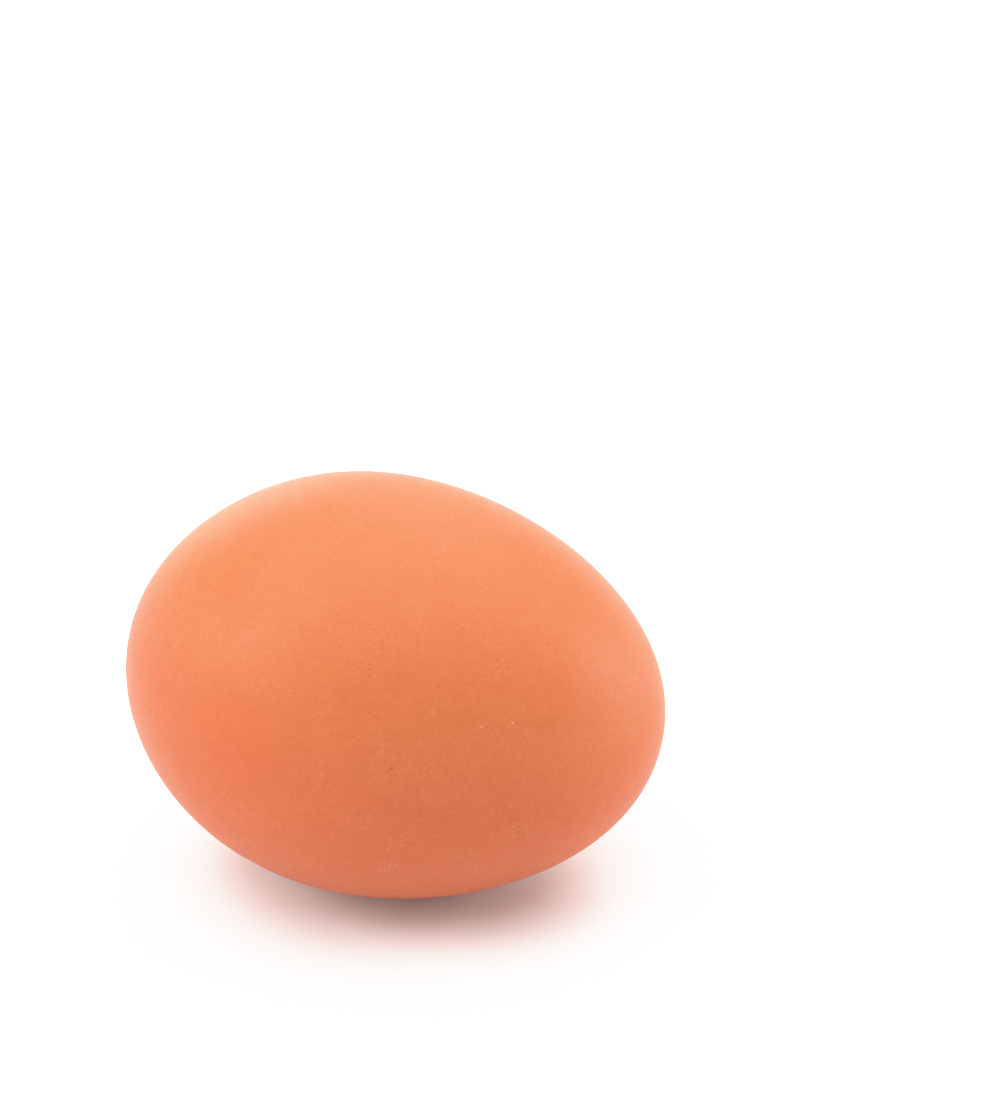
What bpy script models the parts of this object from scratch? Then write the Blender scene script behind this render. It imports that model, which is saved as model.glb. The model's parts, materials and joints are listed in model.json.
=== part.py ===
"""A whole hen's egg in its shell, lying on its side as it comes to rest on a table.

One solid. Its long axis lies in the XZ plane, with the blunt end towards -X and
the pointed end towards +X, and the pointed end dips until the centre of mass is
as low as it can be. A small flat spot under the centre of mass is what it rests
on. The origin is the centre of the bounding box's bottom face.

Units are metres and radians, with +Z up.
"""

import math

import bmesh
import bpy
from mathutils import Matrix, Vector

# Driving dimensions of the shell.
EGG_LENGTH = 0.0566
EGG_BREADTH = 0.0440

# The half-outline is that of an ellipse, times a cubic in the place along the
# axis, which runs from -1 at the blunt end to +1 at the pointed end.
TAPER = 0.073  # how much fuller the blunt half is than the pointed half
LEAN_ENDS = 0.025  # how much leaner both ends are than the ellipse's
ROUND_TIPS = 0.044  # how much of the taper is given back right at the two tips

# The flat spot: how far the shell is cut off below the lowest point of its curve.
FLAT_SPOT_DEPTH = 0.00015

# How finely the curve is faceted.
STEPS_ALONG = 44
STEPS_ROUND = 56
SAMPLES = 400  # points along the outline where it is measured
SMALLEST_GAP = 1e-6  # points closer than this are one point

# Brown shell: matt and pigmented, with no metal in it.
SHELL_COLOUR = (0.68, 0.27, 0.13, 1.0)
SHELL_ROUGHNESS = 0.5


def relative_radius(place):
    """The outline's height at a place from -1 to 1 along the axis, before it is scaled to the breadth."""
    ellipse = math.sqrt(max(0.0, 1.0 - place * place))
    return ellipse * (1.0 - TAPER * place - LEAN_ENDS * place**2 + ROUND_TIPS * place**3)


def outline(steps):
    """(x, radius) of the shell from the blunt end to the pointed end, closest together at the ends."""
    places = [-math.cos(math.pi * step / steps) for step in range(steps + 1)]
    widest = max(relative_radius(-math.cos(math.pi * step / SAMPLES)) for step in range(SAMPLES))
    scale = EGG_BREADTH / 2 / widest
    return [(EGG_LENGTH / 2 * place, scale * relative_radius(place)) for place in places]


def mass_centre(curve):
    """x of the solid's centre of mass, from thin slices across the axis."""
    volume = moment = 0.0
    for (x0, r0), (x1, r1) in zip(curve, curve[1:]):
        slice_volume = (x1 - x0) * (r0 * r0 + r0 * r1 + r1 * r1)
        volume += slice_volume
        moment += slice_volume * (x0 + x1) / 2
    return moment / volume


def centre_height(curve, centre, dip):
    """How high the centre of mass is above the table when the pointed end dips by this angle."""
    return max((x - centre) * math.sin(dip) + r * math.cos(dip) for x, r in curve)


def resting_dip():
    """The dip at which the centre of mass is lowest, found by closing in on it."""
    curve = outline(SAMPLES)
    centre = mass_centre(curve)
    low, high = math.radians(-20), math.radians(20)
    while high - low > math.radians(0.001):
        third = (high - low) / 3
        if centre_height(curve, centre, low + third) < centre_height(curve, centre, high - third):
            high -= third
        else:
            low += third
    return (low + high) / 2


def turned_shell():
    """The outline turned about the X axis into a closed surface."""
    shell = bmesh.new()
    points = [shell.verts.new((x, 0.0, radius)) for x, radius in outline(STEPS_ALONG)]
    edges = [shell.edges.new(pair) for pair in zip(points, points[1:])]
    bmesh.ops.spin(
        shell,
        geom=points + edges,
        cent=(0, 0, 0),
        axis=(1, 0, 0),
        angle=math.tau,
        steps=STEPS_ROUND,
        use_merge=True,
    )
    bmesh.ops.remove_doubles(shell, verts=shell.verts, dist=SMALLEST_GAP)
    bmesh.ops.recalc_face_normals(shell, faces=shell.faces)
    return shell


def cut_flat_spot(shell):
    """Slices the lowest part of the shell off level, and closes the cut with one flat face."""
    lowest = min(vertex.co.z for vertex in shell.verts)
    cut = bmesh.ops.bisect_plane(
        shell,
        geom=shell.verts[:] + shell.edges[:] + shell.faces[:],
        dist=SMALLEST_GAP,
        plane_co=(0, 0, lowest + FLAT_SPOT_DEPTH),
        plane_no=(0, 0, 1),
        clear_inner=True,
    )
    rim = [item for item in cut["geom_cut"] if isinstance(item, bmesh.types.BMEdge)]
    bmesh.ops.contextual_create(shell, geom=rim)
    bmesh.ops.recalc_face_normals(shell, faces=shell.faces)
    for edge in rim:
        edge.smooth = False


def set_on_table(shell):
    """Moves the shell so that the centre of its box's bottom face is at the origin."""
    lowest = Vector(min(vertex.co[axis] for vertex in shell.verts) for axis in range(3))
    highest = Vector(max(vertex.co[axis] for vertex in shell.verts) for axis in range(3))
    middle = (lowest + highest) / 2
    bmesh.ops.translate(shell, verts=shell.verts, vec=(-middle.x, -middle.y, -lowest.z))


def shell_material():
    """Pigmented calcite with its natural matt bloom."""
    material = bpy.data.materials.new("brown_eggshell")
    material.use_nodes = True
    surface = material.node_tree.nodes["Principled BSDF"]
    surface.inputs["Base Color"].default_value = SHELL_COLOUR
    surface.inputs["Roughness"].default_value = SHELL_ROUGHNESS
    surface.inputs["Metallic"].default_value = 0.0
    return material


def make_egg():
    """The egg as one object, smooth but for the rim of its flat spot."""
    shell = turned_shell()
    for face in shell.faces:
        face.smooth = True
    bmesh.ops.rotate(shell, verts=shell.verts, matrix=Matrix.Rotation(resting_dip(), 3, "Y"))
    cut_flat_spot(shell)
    set_on_table(shell)
    mesh = bpy.data.meshes.new("egg")
    shell.to_mesh(mesh)
    shell.free()
    mesh.materials.append(shell_material())
    egg = bpy.data.objects.new("egg", mesh)
    bpy.context.scene.collection.objects.link(egg)


def main():
    for leftover in list(bpy.data.objects):
        bpy.data.objects.remove(leftover)
    make_egg()


main()
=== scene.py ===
"""Lays a brown hen's egg on a white table, in soft studio light.

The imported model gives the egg's size, its place and the table's height. The egg
shown here is a finer one of the same shape: its shell has pores, grains of chalk
and the slow unevenness of a grown thing, and fills the same box.
"""

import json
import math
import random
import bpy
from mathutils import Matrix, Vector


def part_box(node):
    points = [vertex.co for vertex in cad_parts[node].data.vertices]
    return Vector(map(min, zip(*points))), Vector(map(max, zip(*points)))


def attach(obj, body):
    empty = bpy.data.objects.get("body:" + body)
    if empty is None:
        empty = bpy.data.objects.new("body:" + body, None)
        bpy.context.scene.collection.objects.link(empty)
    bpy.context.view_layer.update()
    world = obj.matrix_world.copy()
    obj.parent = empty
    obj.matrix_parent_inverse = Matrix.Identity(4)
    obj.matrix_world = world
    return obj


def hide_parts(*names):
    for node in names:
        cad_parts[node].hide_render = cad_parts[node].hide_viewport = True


bl_info = {
    "name": "Brown hen's egg",
    "version": (1, 0, 0),
    "blender": (4, 5, 0),
    "location": "3D View > Sidebar > Egg",
    "description": "Makes a brown hen's egg with a pored, bloomed shell, and a studio to show it in",
    "category": "Object",
}

import bmesh
import bpy
from bpy.props import FloatProperty, FloatVectorProperty, IntProperty, PointerProperty, StringProperty
from mathutils import Matrix, Vector, noise

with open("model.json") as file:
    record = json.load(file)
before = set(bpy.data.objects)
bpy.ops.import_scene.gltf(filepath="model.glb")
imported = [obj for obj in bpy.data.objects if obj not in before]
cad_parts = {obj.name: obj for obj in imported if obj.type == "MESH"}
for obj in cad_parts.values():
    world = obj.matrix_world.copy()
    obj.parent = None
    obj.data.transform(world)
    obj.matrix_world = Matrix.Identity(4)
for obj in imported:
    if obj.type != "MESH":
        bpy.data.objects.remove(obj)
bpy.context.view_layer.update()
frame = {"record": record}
EGG_LOW, EGG_HIGH = (Vector(corner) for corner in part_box("egg"))
EGG_MIDDLE = (EGG_LOW + EGG_HIGH) / 2
REST_SPOT = Vector(frame["record"]["mounts"][0]["pos_m"])

MM = 0.001
SEED = 20  # of the random places of points, pores and grains


# ---------------------------------------------------------------------------
# What a user may change


class EggShape(bpy.types.PropertyGroup):
    """The outline of the shell and the flat spot it rests on."""

    length: FloatProperty(
        name="Length",
        description="From the tip of the blunt end to the tip of the pointed end",
        default=0.0566,
        min=0.01,
        unit="LENGTH",
    )
    breadth: FloatProperty(
        name="Breadth",
        description="Across the widest place",
        default=0.0440,
        min=0.01,
        unit="LENGTH",
    )
    taper: FloatProperty(
        name="Taper",
        description="How much fuller the blunt half is than the pointed half",
        default=0.073,
    )
    lean_ends: FloatProperty(
        name="Lean ends",
        description="How much leaner both ends are than those of an ellipse",
        default=0.025,
    )
    round_tips: FloatProperty(
        name="Round tips",
        description="How much of the taper is given back right at the two tips",
        default=0.044,
    )
    flat_spot: FloatProperty(
        name="Flat spot",
        description="How far the shell is cut back where it rests",
        default=0.00015,
        min=0.0,
        unit="LENGTH",
    )
    unevenness: FloatProperty(
        name="Unevenness",
        description="How far the shell strays in and out of its true shape, as a grown thing does",
        default=0.00004,
        min=0.0,
        unit="LENGTH",
    )


class EggSkin(bpy.types.PropertyGroup):
    """The small relief of the shell."""

    pores: IntProperty(
        name="Pores",
        description="How many pores are drawn",
        default=2400,
        min=0,
    )
    pore_radius: FloatProperty(
        name="Pore radius",
        description="From the middle of a pore to the far edge of the dip round it",
        default=0.00013,
        min=0.00002,
        unit="LENGTH",
    )
    pore_depth: FloatProperty(
        name="Pore depth",
        description="How deep the dip of a pore is",
        default=0.00003,
        min=0.0,
        unit="LENGTH",
    )
    chalk_grains: IntProperty(
        name="Chalk grains",
        description="How many grains of chalk there are in the patch low on the near side",
        default=20,
        min=0,
    )
    chalk_height: FloatProperty(
        name="Chalk height",
        description="How far a grain of chalk stands proud",
        default=0.00004,
        min=0.0,
        unit="LENGTH",
    )


class EggColours(bpy.types.PropertyGroup):
    """The colours of the shell, as sRGB hex values."""

    pigment: StringProperty(
        name="Pigment",
        description="The brown of the pigment layer",
        default="#B6643D",
    )
    pigment_deep: StringProperty(
        name="Deep pigment",
        description="The brown where the pigment lies thicker",
        default="#AF5D35",
    )
    # Painted shade: the lower side of the shell is multiplied by this colour, so it comes out darker and
    # redder below.
    painted_shade_below: StringProperty(
        name="Painted shade below",
        description="What the brown is multiplied by on the lower side, where the pigment is thicker",
        default="#FCEFEF",
    )
    bloom: StringProperty(
        name="Bloom",
        description="The dried film that lies on the shell in fine pale flecks",
        default="#BA8469",
    )
    pore: StringProperty(
        name="Pore",
        description="The darker brown at the bottom of a pore",
        default="#A15330",
    )
    chalk: StringProperty(
        name="Chalk",
        description="Specks of bare chalk",
        default="#D0AD99",
    )


class Studio(bpy.types.PropertyGroup):
    """The table, the lights and the camera."""

    table_colour: StringProperty(
        name="Table",
        description="The colour of the table",
        default="#F3EFEE",
    )
    table_radius: FloatProperty(
        name="Table radius",
        description="How far the table reaches from the egg",
        default=0.75,
        min=0.2,
        unit="LENGTH",
    )
    sweep_light: FloatProperty(
        name="Sweep light",
        description="How bright the white sweep is, low down all round the table",
        default=1.7,
        min=0.0,
    )
    room_light: FloatProperty(
        name="Room light",
        description="How bright the room is above the sweep",
        default=0.12,
        min=0.0,
    )
    key_power: FloatProperty(
        name="Key light",
        description="Power of the soft lights on the left, from beside the egg to behind it",
        default=9.65,
        min=0.0,
        unit="POWER",
    )
    top_power: FloatProperty(
        name="Top light",
        description="Power of the large soft light overhead",
        default=20.7,
        min=0.0,
        unit="POWER",
    )
    right_power: FloatProperty(
        name="Right light",
        description="Power of the tall soft light on the right",
        default=7.3,
        min=0.0,
        unit="POWER",
    )
    back_power: FloatProperty(
        name="Back light",
        description="Power of the soft lights behind the egg",
        default=6.3,
        min=0.0,
        unit="POWER",
    )
    film_knee: FloatProperty(
        name="Film knee",
        description="How bright a surface is where the film starts to roll off towards white",
        default=0.8,
        min=0.1,
        max=0.99,
    )
    azimuth: FloatProperty(
        name="Azimuth",
        description="How far round the egg the camera stands, from straight in front",
        default=math.radians(11.94),
        unit="ROTATION",
    )
    elevation: FloatProperty(
        name="Elevation",
        description="How far above the table the camera stands, as an angle",
        default=math.radians(35.0),
        unit="ROTATION",
    )
    distance: FloatProperty(
        name="Distance",
        description="From the middle of the egg to the camera",
        default=0.640,
        min=0.1,
        unit="LENGTH",
    )
    lens: FloatProperty(
        name="Lens",
        description="Focal length, in millimetres",
        default=200.8,
        min=10.0,
        unit="CAMERA",
    )
    aim: FloatVectorProperty(
        name="Aim",
        description="How far right of and above the middle of the egg the camera points",
        size=2,
        default=(0.01102, 0.01368),
        unit="LENGTH",
    )


# ---------------------------------------------------------------------------
# Small helpers


def linear(hex_colour):
    """An sRGB hex value as linear red, green, blue and alpha."""
    channels = [int(hex_colour[start : start + 2], 16) / 255 for start in (1, 3, 5)]
    return [c / 12.92 if c <= 0.04045 else ((c + 0.055) / 1.055) ** 2.4 for c in channels] + [1.0]


def add_node(tree, kind, settings=None, **links):
    """Adds a node, sets its attributes, and sets or links its inputs.

    An input goes by its name, or by its number after an i where names repeat. It is linked if it is
    given an output, or a node, which stands for its first output.
    """
    node = tree.nodes.new(kind)
    for name, value in (settings or {}).items():
        setattr(node, name, value)
    for name, value in links.items():
        key = int(name[1:]) if name[:1] == "i" and name[1:].isdigit() else name.replace("_", " ")
        if isinstance(value, bpy.types.Node):
            value = value.outputs[0]
        if isinstance(value, bpy.types.NodeSocket):
            tree.links.new(value, node.inputs[key])
        else:
            node.inputs[key].default_value = value
    return node


# ---------------------------------------------------------------------------
# The shape of the shell


OUTLINE_STEPS = 400  # how finely the outline is measured
STEEPEST_DIP = math.radians(20)
DIP_ERROR = math.radians(0.001)
FINENESS = 7  # 40,962 points, 0.45 mm apart
SCATTER = 0.22  # how far a point may be moved aside, as a share of the distance between points


def relative_radius(shape, place):
    """The outline's height at a place from -1 to 1 along the axis, before it is scaled to the breadth."""
    ellipse = math.sqrt(max(0.0, 1.0 - place * place))
    return ellipse * (1.0 - shape.taper * place - shape.lean_ends * place**2 + shape.round_tips * place**3)


def outline_places():
    """Places from -1 to 1 along the axis, closest together at the two tips."""
    return [-math.cos(math.pi * step / OUTLINE_STEPS) for step in range(OUTLINE_STEPS + 1)]


def outline_scale(shape):
    """What a relative radius is multiplied by to make a real one."""
    return shape.breadth / 2 / max(relative_radius(shape, place) for place in outline_places())


def outline(shape):
    """(x, radius) of the shell from the blunt end to the pointed end."""
    half, scale = shape.length / 2, outline_scale(shape)
    return [(half * place, scale * relative_radius(shape, place)) for place in outline_places()]


def mass_centre(curve):
    """x of the egg's centre of mass, from thin slices across the axis."""
    volume = moment = 0.0
    for (x0, r0), (x1, r1) in zip(curve, curve[1:]):
        part = (x1 - x0) * (r0 * r0 + r0 * r1 + r1 * r1)
        volume += part
        moment += part * (x0 + x1) / 2
    return moment / volume


def resting_dip(shape):
    """The dip of the pointed end at which the centre of mass is lowest, found by closing in on it."""
    curve = outline(shape)
    centre = mass_centre(curve)

    def height(dip):
        return max((x - centre) * math.sin(dip) + r * math.cos(dip) for x, r in curve)

    low, high = -STEEPEST_DIP, STEEPEST_DIP
    while high - low > DIP_ERROR:
        third = (high - low) / 3
        if height(low + third) < height(high - third):
            high -= third
        else:
            low += third
    return (low + high) / 2


def smooth_shell(shape, rng):
    """A fine closed shell with its long axis along X, its points a little scattered."""
    shell = bmesh.new()
    bmesh.ops.create_icosphere(shell, subdivisions=FINENESS, radius=1.0)
    spread = SCATTER * math.sqrt(4 * math.pi / len(shell.verts))
    scale = outline_scale(shape)
    for vertex in shell.verts:
        nudge = Vector(rng.uniform(-spread, spread) for _ in range(3))
        way = (vertex.co + nudge).normalized()
        across = math.hypot(way.y, way.z)
        grow = 0.0 if across == 0.0 else scale * relative_radius(shape, way.x) / across
        place = Vector((shape.length / 2 * way.x, grow * way.y, grow * way.z))
        place += way * shape.unevenness * uneven(way)
        vertex.co = place
    return shell


def uneven(way):
    """How far in or out the shell strays in a direction, from about -1 to 1, in swells of three sizes."""
    swells = noise.noise(way * 1.7) + 0.25 * noise.noise(way * 9.0 + Vector((4.0, 1.0, 7.0)))
    return swells + 0.05 * noise.noise(way * 24.0)


def lay_down(shell, shape):
    """Dips the pointed end, cuts the flat spot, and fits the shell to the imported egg's box."""
    bmesh.ops.rotate(shell, verts=shell.verts, matrix=Matrix.Rotation(resting_dip(shape), 3, "Y"))
    table = min(vertex.co.z for vertex in shell.verts) + shape.flat_spot
    for vertex in shell.verts:
        vertex.co.z = max(vertex.co.z, table)
    low = Vector(min(vertex.co[axis] for vertex in shell.verts) for axis in range(3))
    high = Vector(max(vertex.co[axis] for vertex in shell.verts) for axis in range(3))
    for vertex in shell.verts:
        for axis in range(3):
            share = (vertex.co[axis] - low[axis]) / (high[axis] - low[axis])
            vertex.co[axis] = EGG_LOW[axis] + share * (EGG_HIGH[axis] - EGG_LOW[axis])


# ---------------------------------------------------------------------------
# The relief of the shell


PORE_LAYER = "pore"
CHALK_LAYER = "chalk"

# A mark is a level rim, a slope inside it, and a shallow cone in the middle. Widths are shares of
# its radius and heights are shares of its height.
RIM_WIDTH = 0.3
SLOPE_WIDTH = 0.3
SLOPE_HEIGHT = 0.7
CONE_HEIGHT = 0.3
CONE_EDGE = 0.8  # how strongly the edge of the cone takes the mark's colour; its tip takes all of it

# A real shell has several thousand pores a few hundredths of a millimetre wide, which is too fine
# to show. The drawn ones are fewer and wider, as coarse as they need to be to show.
PORE_SIZES = (0.7, 1.0, 1.3)
PORE_CLEARANCE = 0.4 * MM  # how far above the table the lowest pores are

# Grains of chalk are drawn coarse for the same reason.
SMALL_GRAIN = 0.09 * MM
LARGE_GRAIN = 0.12 * MM
LONE_GRAIN = 0.14 * MM
LONE_GRAIN_WAY = Vector((0.66, -0.67, 0.35))  # from the middle of the egg towards it
CHALK_PATCH_WAY = Vector((0.13, -0.92, -0.37))
CHALK_PATCH_RADIUS = 1.3 * MM


def mark_shell(shell, verts, radius, height, layer):
    """Turns points of the shell into small round marks: dips if the height is negative, or else grains."""
    shell.normal_update()
    settings = {"offset_type": "OFFSET", "affect": "VERTICES", "segments": 1}
    made = bmesh.ops.bevel(shell, geom=verts, offset=radius, **settings)
    discs = [face for face in made["faces"] if face.is_valid]
    bmesh.ops.inset_individual(shell, faces=discs, thickness=radius * RIM_WIDTH, depth=0.0)
    slope = {"thickness": radius * SLOPE_WIDTH, "depth": height * SLOPE_HEIGHT}
    bmesh.ops.inset_individual(shell, faces=discs, **slope)
    for disc in discs:
        for vertex in disc.verts:
            vertex[layer] = CONE_EDGE
    tips = bmesh.ops.poke(shell, faces=discs, offset=height * CONE_HEIGHT)
    for vertex in tips["verts"]:
        vertex[layer] = 1.0


def add_pores(shell, skin, rng):
    """Scatters pores over the shell, in three sizes, and leaves the flat spot clear."""
    layer = shell.verts.layers.float.new(PORE_LAYER)
    free = [v for v in shell.verts if v.co.z > EGG_LOW.z + PORE_CLEARANCE]
    chosen = rng.sample(free, skin.pores)
    for first, size in enumerate(PORE_SIZES):
        group = [v for v in chosen[first :: len(PORE_SIZES)] if v.is_valid]
        mark_shell(shell, group, skin.pore_radius * size, -skin.pore_depth * size, layer)


def nearest(shell, way):
    """The point of the shell that lies most nearly in a direction from the middle of the egg."""
    way = way.normalized()
    return max(shell.verts, key=lambda vertex: (vertex.co - EGG_MIDDLE).normalized().dot(way))


def add_chalk(shell, skin, rng):
    """Sets a small patch of chalk grains low on the near side, and one grain by itself above it."""
    layer = shell.verts.layers.float.new(CHALK_LAYER)
    centre = nearest(shell, CHALK_PATCH_WAY).co.copy()
    near = [v for v in shell.verts if (v.co - centre).length < CHALK_PATCH_RADIUS]
    chosen = rng.sample(near, min(skin.chalk_grains, len(near)))
    lone = nearest(shell, LONE_GRAIN_WAY)
    half = len(chosen) // 2
    mark_shell(shell, chosen[:half], SMALL_GRAIN, skin.chalk_height, layer)
    mark_shell(shell, [v for v in chosen[half:] if v.is_valid], LARGE_GRAIN, skin.chalk_height, layer)
    mark_shell(shell, [lone], LONE_GRAIN, skin.chalk_height, layer)


# ---------------------------------------------------------------------------
# The material of the shell


# The patterns of the shell: the size of their patches, and how much finer detail they carry. On a
# real shell the grain and the crystals' tips are too fine to show, so they are drawn as coarse as
# they need to be.
PATTERNS = {
    "clouds": (10 * MM, 2.0),
    "gathering": (4.5 * MM, 1.0),
    "blotches": (1.6 * MM, 2.0),
    "grain": (0.4 * MM, 3.0),
    "film": (0.3 * MM, 3.0),
    "ragged": (0.25 * MM, 2.0),
    "tips": (0.25 * MM, 1.0),
}

PAINTED_SHADE_TOP = 0.71  # where the painted shade starts to darken and redden the brown downwards, as a share of the egg's height
PAINTED_SHADE_FULL = 0.54  # where the painted shade is at its strongest
PAINTED_SHADE_TILT = 0.25  # how steeply those two levels fall towards the pointed end

FLECK_LAYERS = ((0.8 * MM, 0.6, 0.8), (0.42 * MM, 0.7, 0.5))  # distance between cells, share, strength
SMALLEST_FLECK = 0.10  # the radius of a fleck, as a share of the distance between cells
LARGEST_FLECK = 0.26
FLECK_CORE = 0.2  # the inner share of a fleck that is at full strength
FLECK_FAINTNESS = 2.5  # the higher it is, the more of the flecks are faint
TEAR = 0.14 * MM  # how far the ragged pattern pulls the edges of the flecks about


def flecks(tree, place, spacing, share, strength):
    """Small flecks in a share of the cells a spacing apart. Most are faint and a few reach the strength."""
    cells = add_node(tree, "ShaderNodeTexVoronoi", Vector=place, Scale=1 / spacing).outputs
    chance = add_node(tree, "ShaderNodeSeparateColor", Color=cells["Color"]).outputs
    sizes = {"To_Min": SMALLEST_FLECK, "To_Max": LARGEST_FLECK}
    radius = add_node(tree, "ShaderNodeMapRange", Value=chance["Blue"], **sizes)
    inside = add_node(tree, "ShaderNodeMath", {"operation": "DIVIDE"}, i0=cells["Distance"], i1=radius)
    fall = {"From_Min": FLECK_CORE, "To_Min": strength, "To_Max": 0.0}
    spot = add_node(tree, "ShaderNodeMapRange", Value=inside, **fall)
    picked = add_node(tree, "ShaderNodeMath", {"operation": "LESS_THAN"}, i0=chance["Red"], i1=share)
    shown = add_node(tree, "ShaderNodeMath", {"operation": "MULTIPLY"}, i0=spot, i1=picked)
    faded = add_node(tree, "ShaderNodeMath", {"operation": "POWER"}, i0=chance["Green"], i1=FLECK_FAINTNESS)
    return add_node(tree, "ShaderNodeMath", {"operation": "MULTIPLY"}, i0=shown, i1=faded)


def eggshell_material(colours):
    """Brown hen's eggshell: calcite crystals under a pigmented film that dried on as the egg was laid.

    The film is matt with a faint gloss, so lights show on it as broad soft patches, and it pales at
    the edges where it is seen aslant. The pigment lies in it in fine uneven spots.
    """
    material = bpy.data.materials.new("brown_hens_eggshell")
    material.use_nodes = True
    tree = material.node_tree
    shader = tree.nodes["Principled BSDF"]
    place = add_node(tree, "ShaderNodeTexCoord").outputs["Object"]
    pattern = {
        name: add_node(tree, "ShaderNodeTexNoise", Vector=place, Scale=1 / size, Detail=detail)
        for name, (size, detail) in PATTERNS.items()
    }

    # The pigment is laid on unevenly, in clouds, in blotches and, most of all, in a fine grain.
    wide = {"i0": pattern["clouds"], "i1": pattern["blotches"]}
    coarse = add_node(tree, "ShaderNodeMath", {"operation": "ADD"}, **wide)
    fine = {"i0": pattern["grain"], "i1": 2.0, "i2": coarse}
    thick = add_node(tree, "ShaderNodeMath", {"operation": "MULTIPLY_ADD"}, **fine)
    deep = add_node(tree, "ShaderNodeMapRange", Value=thick, From_Min=1.3, From_Max=2.7)

    # Painted shade: the brown is made darker and redder on the lower side, and higher up that side at the
    # blunt end.
    parts = add_node(tree, "ShaderNodeSeparateXYZ", Vector=place).outputs
    tilted = {"i0": parts["X"], "i1": PAINTED_SHADE_TILT, "i2": parts["Z"]}
    level = add_node(tree, "ShaderNodeMath", {"operation": "MULTIPLY_ADD"}, **tilted)
    ends = {"From_Min": PAINTED_SHADE_TOP * EGG_HIGH.z, "From_Max": PAINTED_SHADE_FULL * EGG_HIGH.z}
    low = add_node(tree, "ShaderNodeMapRange", Value=level, **ends)

    # Bloom: pale flecks of 0.1 to 0.4 mm with ragged edges over a broken film, both thicker in places.
    pull = {"i0": pattern["ragged"].outputs["Color"], "i1": (TEAR, TEAR, TEAR), "i2": place}
    torn = add_node(tree, "ShaderNodeVectorMath", {"operation": "MULTIPLY_ADD"}, **pull).outputs[0]
    ends = {"From_Min": 0.52, "From_Max": 0.78, "To_Max": 0.32}
    bloom = add_node(tree, "ShaderNodeMapRange", Value=pattern["film"], **ends)
    for spacing, share, strength in FLECK_LAYERS:
        layer = flecks(tree, torn, spacing, share, strength)
        bloom = add_node(tree, "ShaderNodeMath", {"operation": "MAXIMUM"}, i0=bloom, i1=layer)
    ends = {"From_Min": 0.42, "From_Max": 0.65, "To_Min": 0.35}
    gathered = add_node(tree, "ShaderNodeMapRange", Value=pattern["gathering"], **ends)
    bloom = add_node(tree, "ShaderNodeMath", {"operation": "MULTIPLY"}, i0=bloom, i1=gathered)

    # Pores are darker, because the pigment gathers in them; chalk grains are bare.
    pore = add_node(tree, "ShaderNodeAttribute", {"attribute_name": PORE_LAYER}).outputs["Fac"]
    chalk = add_node(tree, "ShaderNodeAttribute", {"attribute_name": CHALK_LAYER}).outputs["Fac"]

    colour = linear(colours.pigment)
    for share, blend, next_colour in (
        (deep, "MIX", colours.pigment_deep),
        # painted shade, darker and redder on the lower side
        (low, "MULTIPLY", colours.painted_shade_below),
        (bloom, "MIX", colours.bloom),
        (pore, "MIX", colours.pore),
        (chalk, "MIX", colours.chalk),
    ):
        settings = {"data_type": "RGBA", "blend_type": blend}
        mix = add_node(tree, "ShaderNodeMix", settings, i0=share, i6=colour, i7=linear(next_colour))
        colour = mix.outputs[2]
    tree.links.new(colour, shader.inputs["Base Color"])

    # The film's gloss is broken by the same grain as the pigment.
    roughness = add_node(tree, "ShaderNodeMapRange", Value=pattern["grain"], To_Min=0.38, To_Max=0.52)
    tree.links.new(roughness.outputs[0], shader.inputs["Roughness"])
    shader.inputs["IOR"].default_value = 1.4
    shader.inputs["Specular IOR Level"].default_value = 0.24
    shader.inputs["Metallic"].default_value = 0.0

    # The tips of the crystals stand up under the film, a few thousandths of a millimetre high.
    relief = {"Strength": 0.5, "Distance": 0.004 * MM}
    bump = add_node(tree, "ShaderNodeBump", Height=pattern["tips"], **relief)
    tree.links.new(bump.outputs["Normal"], shader.inputs["Normal"])
    return material


class EGG_OT_make_egg(bpy.types.Operator):
    """Makes the egg, in the place of the plain one"""

    bl_idname = "egg.make_egg"
    bl_label = "Make the egg"

    def execute(self, context):
        scene = context.scene
        rng = random.Random(SEED)
        shell = smooth_shell(scene.egg_shape, rng)
        lay_down(shell, scene.egg_shape)
        add_chalk(shell, scene.egg_skin, rng)
        add_pores(shell, scene.egg_skin, rng)
        bmesh.ops.triangulate(shell, faces=[face for face in shell.faces if len(face.verts) > 3])
        for face in shell.faces:
            face.smooth = True
        mesh = bpy.data.meshes.new("hens_egg")
        shell.to_mesh(mesh)
        shell.free()
        mesh.materials.append(eggshell_material(scene.egg_colours))
        egg = bpy.data.objects.new("hens_egg", mesh)
        scene.collection.objects.link(egg)
        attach(egg, "root")
        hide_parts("egg")
        return {"FINISHED"}


# ---------------------------------------------------------------------------
# The studio


TABLE_SIDES = 96
TABLE_GAP = 0.01 * MM  # between the table and the flat spot, so that the two faces don't coincide


def laminate_material(colour):
    """White laminate: paper under clear resin that was pressed against a finely grained plate.

    The grain scatters what it reflects, so the table is evenly white and mirrors nothing.
    """
    material = bpy.data.materials.new("white_laminate")
    material.use_nodes = True
    shader = material.node_tree.nodes["Principled BSDF"]
    shader.inputs["Base Color"].default_value = linear(colour)
    shader.inputs["Roughness"].default_value = 0.8
    return material


def make_table(scene, studio):
    """A round white table, beyond which the white sweep begins."""
    top = bmesh.new()
    bmesh.ops.create_circle(top, cap_ends=True, segments=TABLE_SIDES, radius=studio.table_radius)
    mesh = bpy.data.meshes.new("table")
    top.to_mesh(mesh)
    top.free()
    mesh.materials.append(laminate_material(studio.table_colour))
    table = bpy.data.objects.new("table", mesh)
    table.location = (REST_SPOT.x, REST_SPOT.y, EGG_LOW.z - TABLE_GAP)
    scene.collection.objects.link(table)


LIGHT_DISTANCE = 1.0  # from the middle of the egg, in metres


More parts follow.
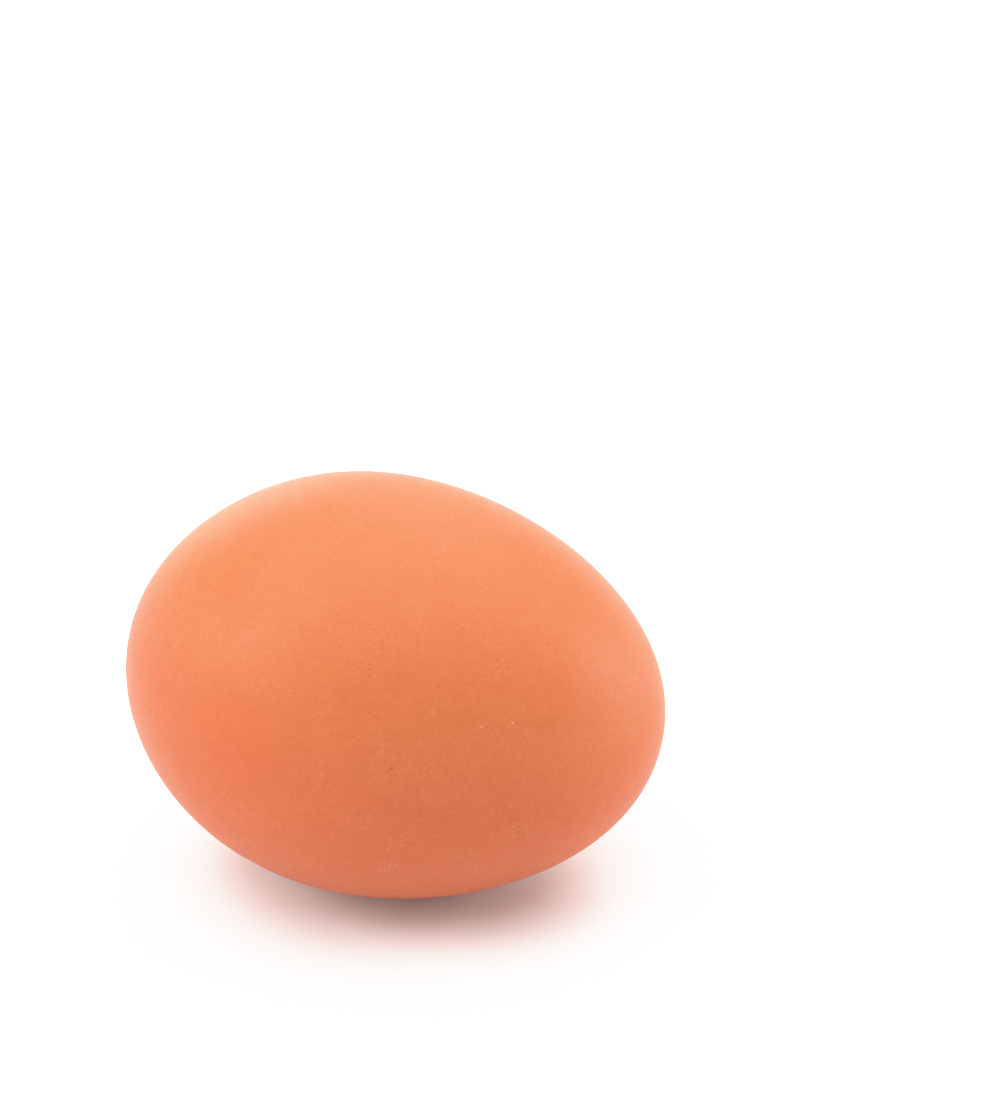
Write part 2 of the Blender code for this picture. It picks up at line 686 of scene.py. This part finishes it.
def from_angles(azimuth, elevation):
    """The direction at a pair of angles. Azimuth is 0 straight in front, and grows towards the right."""
    out = math.cos(elevation)
    return Vector((math.sin(azimuth) * out, -math.cos(azimuth) * out, math.sin(elevation)))


def hang_lights(scene, studio):
    """One lamp overhead, and lamps on the left, on the right and behind that share their side's power."""
    # Each has a name, azimuth, elevation, width and power. Angles are in degrees.
    lamps = (
        ("top_light", 0, 90, 1.68, studio.top_power),
        ("key_light", 294, 30, 0.6, 0.61 * studio.key_power),
        ("key_light_high", 294, 50, 0.6, 0.12 * studio.key_power),
        ("key_light_low", 272, 10, 0.6, 0.09 * studio.key_power),
        ("key_light_behind", 240, 50, 0.6, 0.18 * studio.key_power),
        ("right_light_low", 112, 10, 0.6, 0.75 * studio.right_power),
        ("right_light_high", 112, 35, 0.6, 0.25 * studio.right_power),
        ("back_light_left", 212, 10, 0.6, 0.35 * studio.back_power),
        ("back_light", 180, 35, 0.6, 0.42 * studio.back_power),
        ("back_light_right", 150, 45, 0.6, 0.23 * studio.back_power),
    )
    for name, azimuth, elevation, width, power in lamps:
        way = from_angles(math.radians(azimuth), math.radians(elevation))
        add_softbox(scene, name, way, width, power)


def add_softbox(scene, name, way, width, power):
    """A round soft light that shines on the egg from a direction, and doesn't show itself."""
    light = bpy.data.lights.new(name, "AREA")
    light.shape = "DISK"
    light.size = width
    light.energy = power
    lamp = bpy.data.objects.new(name, light)
    lamp.location = EGG_MIDDLE + way * LIGHT_DISTANCE
    lamp.rotation_euler = way.to_track_quat("Z", "Y").to_euler()
    lamp.visible_camera = False
    scene.collection.objects.link(lamp)


SWEEP_TOP = math.radians(7)  # how high the white sweep reaches before it starts to fall off
SWEEP_END = math.radians(18)  # where only the room's light is left


def light_room(scene, studio):
    """A white sweep low down all round, and a dimmer room above it."""
    world = bpy.data.worlds.new("white_sweep")
    world.use_nodes = True
    tree = world.node_tree
    way = add_node(tree, "ShaderNodeTexCoord").outputs["Generated"]
    height = add_node(tree, "ShaderNodeSeparateXYZ", Vector=way).outputs["Z"]
    ends = {"From_Min": math.sin(SWEEP_TOP), "From_Max": math.sin(SWEEP_END)}
    levels = {"To_Min": studio.sweep_light, "To_Max": studio.room_light}
    strength = add_node(tree, "ShaderNodeMapRange", Value=height, **ends, **levels)
    background = tree.nodes["Background"]
    background.inputs["Color"].default_value = linear("#FFFFFF")
    tree.links.new(strength.outputs[0], background.inputs["Strength"])
    scene.world = world


def aim_camera(scene, studio):
    """Sets the camera up and points it a little past the egg, which puts the egg off-centre."""
    back = from_angles(studio.azimuth, studio.elevation)
    right = Vector((math.cos(studio.azimuth), math.sin(studio.azimuth), 0.0))
    up = back.cross(right)
    target = EGG_MIDDLE + right * studio.aim[0] + up * studio.aim[1]
    camera = bpy.data.objects.new("camera", bpy.data.cameras.new("camera"))
    camera.data.lens = studio.lens
    camera.data.clip_start = 0.01
    camera.data.clip_end = 10.0
    camera.location = EGG_MIDDLE + back * studio.distance
    camera.rotation_euler = (target - camera.location).to_track_quat("-Z", "Y").to_euler()
    scene.collection.objects.link(camera)
    scene.camera = camera


FILM_WHITE = 1.5  # the light that comes out as full white
FILM_STEPS = 16  # how many parts the film's curve is drawn in


def rolled_off(light, knee):
    """What the film makes of an amount of light: the same up to the knee, then ever closer to white."""
    if light < knee:
        return light
    room = 1.0 - knee
    rise = (1.0 - math.exp((knee - light) / room)) / (1.0 - math.exp((knee - FILM_WHITE) / room))
    return knee + room * rise


def load_film(scene, studio):
    """A film that rolls bright light off gently, so that the pale side of the egg keeps its colour."""
    view = scene.view_settings
    view.view_transform = "Standard"
    view.use_curve_mapping = True
    film = view.curve_mapping
    film.white_level = (FILM_WHITE, FILM_WHITE, FILM_WHITE)
    for step in range(1, FILM_STEPS):
        share = step / FILM_STEPS
        film.curves[3].points.new(share, rolled_off(share * FILM_WHITE, studio.film_knee))
    film.update()


class EGG_OT_set_up_studio(bpy.types.Operator):
    """Sets up the table, the lights and the camera"""

    bl_idname = "egg.set_up_studio"
    bl_label = "Set up the studio"

    def execute(self, context):
        scene = context.scene
        studio = scene.egg_studio
        make_table(scene, studio)
        light_room(scene, studio)
        hang_lights(scene, studio)
        aim_camera(scene, studio)
        load_film(scene, studio)
        return {"FINISHED"}


# ---------------------------------------------------------------------------
# The sidebar, and running it all


class EGG_PT_sidebar(bpy.types.Panel):
    """Lists the steps in order, with what each of them reads."""

    bl_idname = "EGG_PT_sidebar"
    bl_label = "Brown hen's egg"
    bl_space_type = "VIEW_3D"
    bl_region_type = "UI"
    bl_category = "Egg"

    def draw(self, context):
        for operator, groups in STEPS:
            box = self.layout.box()
            for group in groups:
                settings = getattr(context.scene, group)
                for name in settings.__annotations__:
                    box.prop(settings, name)
            box.operator(operator.bl_idname)


SETTINGS = {
    "egg_shape": EggShape,
    "egg_skin": EggSkin,
    "egg_colours": EggColours,
    "egg_studio": Studio,
}
STEPS = (
    (EGG_OT_make_egg, ("egg_shape", "egg_skin", "egg_colours")),
    (EGG_OT_set_up_studio, ("egg_studio",)),
)
CLASSES = (*SETTINGS.values(), *(operator for operator, _ in STEPS), EGG_PT_sidebar)


def register():
    for cls in CLASSES:
        bpy.utils.register_class(cls)
    for name, group in SETTINGS.items():
        setattr(bpy.types.Scene, name, PointerProperty(type=group))


def unregister():
    for name in SETTINGS:
        delattr(bpy.types.Scene, name)
    for cls in reversed(CLASSES):
        bpy.utils.unregister_class(cls)


def main():
    register()
    bpy.ops.egg.make_egg()
    bpy.ops.egg.set_up_studio()


if __name__ == "__main__":
    main()
